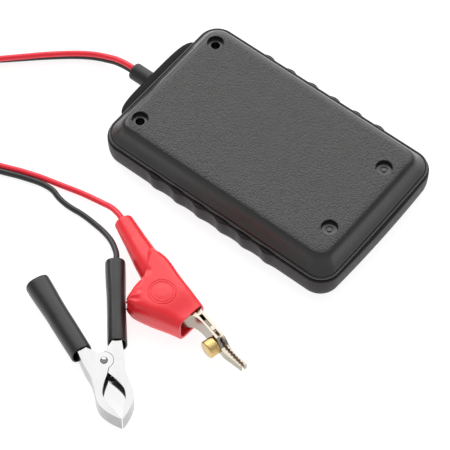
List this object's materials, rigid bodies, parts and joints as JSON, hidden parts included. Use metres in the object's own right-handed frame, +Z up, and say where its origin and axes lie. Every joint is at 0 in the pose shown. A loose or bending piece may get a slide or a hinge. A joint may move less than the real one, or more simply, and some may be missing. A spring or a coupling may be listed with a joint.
{
  "type": "battery tester",
  "caption": "Hand-held battery tester lying face down, with finger-grip sides, a display and keys underneath, and a red and black lead coiled beside it that ends in spring battery clips.",
  "frame": {"origin": "on the resting plane, under the middle of the case and its cable gland", "axes": "+X from the cable end to the free end of the case, +Y away from the clips, +Z up; the display faces -Z"},
  "size_m": [0.235, 0.1827, 0.022],
  "materials": {
    "case_plastic": "satin",
    "cover_plastic": "fine leather grain on the flat, satin on the shoulder",
    "black_rubber": "matte",
    "overlay_film": "satin film",
    "clear_window": "clear",
    "display_glass": "glossy",
    "white_plastic": "satin",
    "key_rubber": "matte",
    "board_green": "satin",
    "chip_black": "satin",
    "ceramic_white": "matte",
    "steel": "bright",
    "bright_nickel": "bright plated",
    "gold_nickel": "warm bright plated",
    "brass": "turned",
    "red_pvc": "soft gloss",
    "red_wire": "soft gloss",
    "black_wire": "soft gloss",
    "black_pvc": "satin",
    "lead_coil": "soft gloss"
  },
  "bodies": {
    "tester": {"front_shell": "case_plastic", "rear_cover": "cover_plastic", "cable_gland": "black_rubber", "case_screw_1": "steel", "case_screw_2": "steel", "face_overlay": "overlay_film", "display_window": "clear_window", "display_frame": "white_plastic", "display_glass": "display_glass", "display_backlight": "white_plastic", "main_board": "board_green", "microcontroller": "chip_black", "power_transistor": "chip_black", "load_resistor": "ceramic_white", "current_shunt": "steel", "clock_crystal": "steel", "smoothing_capacitor": "black_rubber", "sounder": "chip_black", "red_inner_lead": "red_wire", "black_inner_lead": "black_wire", "red_lead_feed": "red_wire", "black_lead_feed": "black_wire", "red_lead_return": "red_wire", "black_lead_return": "black_wire", "lead_coil": "lead_coil", "black_fixed_jaw": "bright_nickel", "black_fixed_grip": "black_pvc", "black_rivet": "bright_nickel", "black_spring": "steel", "red_fixed_jaw": "gold_nickel", "red_pivot_pin": "steel", "red_spring": "steel", "red_boot": "red_pvc", "up_switch": "chip_black", "down_switch": "chip_black", "back_switch": "chip_black", "enter_switch": "chip_black", "board_screw_1": "steel", "board_screw_2": "steel", "board_screw_3": "steel", "board_screw_4": "steel"},
    "up_key": {"up_key": "key_rubber"},
    "down_key": {"down_key": "key_rubber"},
    "back_key": {"back_key": "key_rubber"},
    "enter_key": {"enter_key": "key_rubber"},
    "black_lever": {"black_moving_jaw": "bright_nickel", "black_moving_grip": "black_pvc"},
    "red_lever": {"red_moving_jaw": "gold_nickel", "red_brass_stud": "brass"}
  },
  "joints": [
    {"name": "up_key_slide", "type": "slide", "parent": "tester", "child": "up_key", "axis": [0, 0, 1], "range_m": [0, 0.0008], "stiffness_N_per_m": 1200},
    {"name": "down_key_slide", "type": "slide", "parent": "tester", "child": "down_key", "axis": [0, 0, 1], "range_m": [0, 0.0008], "stiffness_N_per_m": 1200},
    {"name": "back_key_slide", "type": "slide", "parent": "tester", "child": "back_key", "axis": [0, 0, 1], "range_m": [0, 0.0008], "stiffness_N_per_m": 1200},
    {"name": "enter_key_slide", "type": "slide", "parent": "tester", "child": "enter_key", "axis": [0, 0, 1], "range_m": [0, 0.0008], "stiffness_N_per_m": 1200},
    {"name": "black_clamp_hinge", "type": "hinge", "parent": "tester", "child": "black_lever", "pos_m": [0.0166, -0.123, 0.0054], "axis": [0, 0, -1], "range_deg": [0, 28], "stiffness_Nm_per_rad": 0.6, "springref_deg": -28.65, "deforming": ["black_spring"]},
    {"name": "red_clip_hinge", "type": "hinge", "parent": "tester", "child": "red_lever", "pos_m": [0.0204, -0.082, 0.008], "axis": [0, 0, -1], "range_deg": [0, 18], "stiffness_Nm_per_rad": 0.4, "springref_deg": -28.65, "deforming": ["red_spring"]}
  ]
}
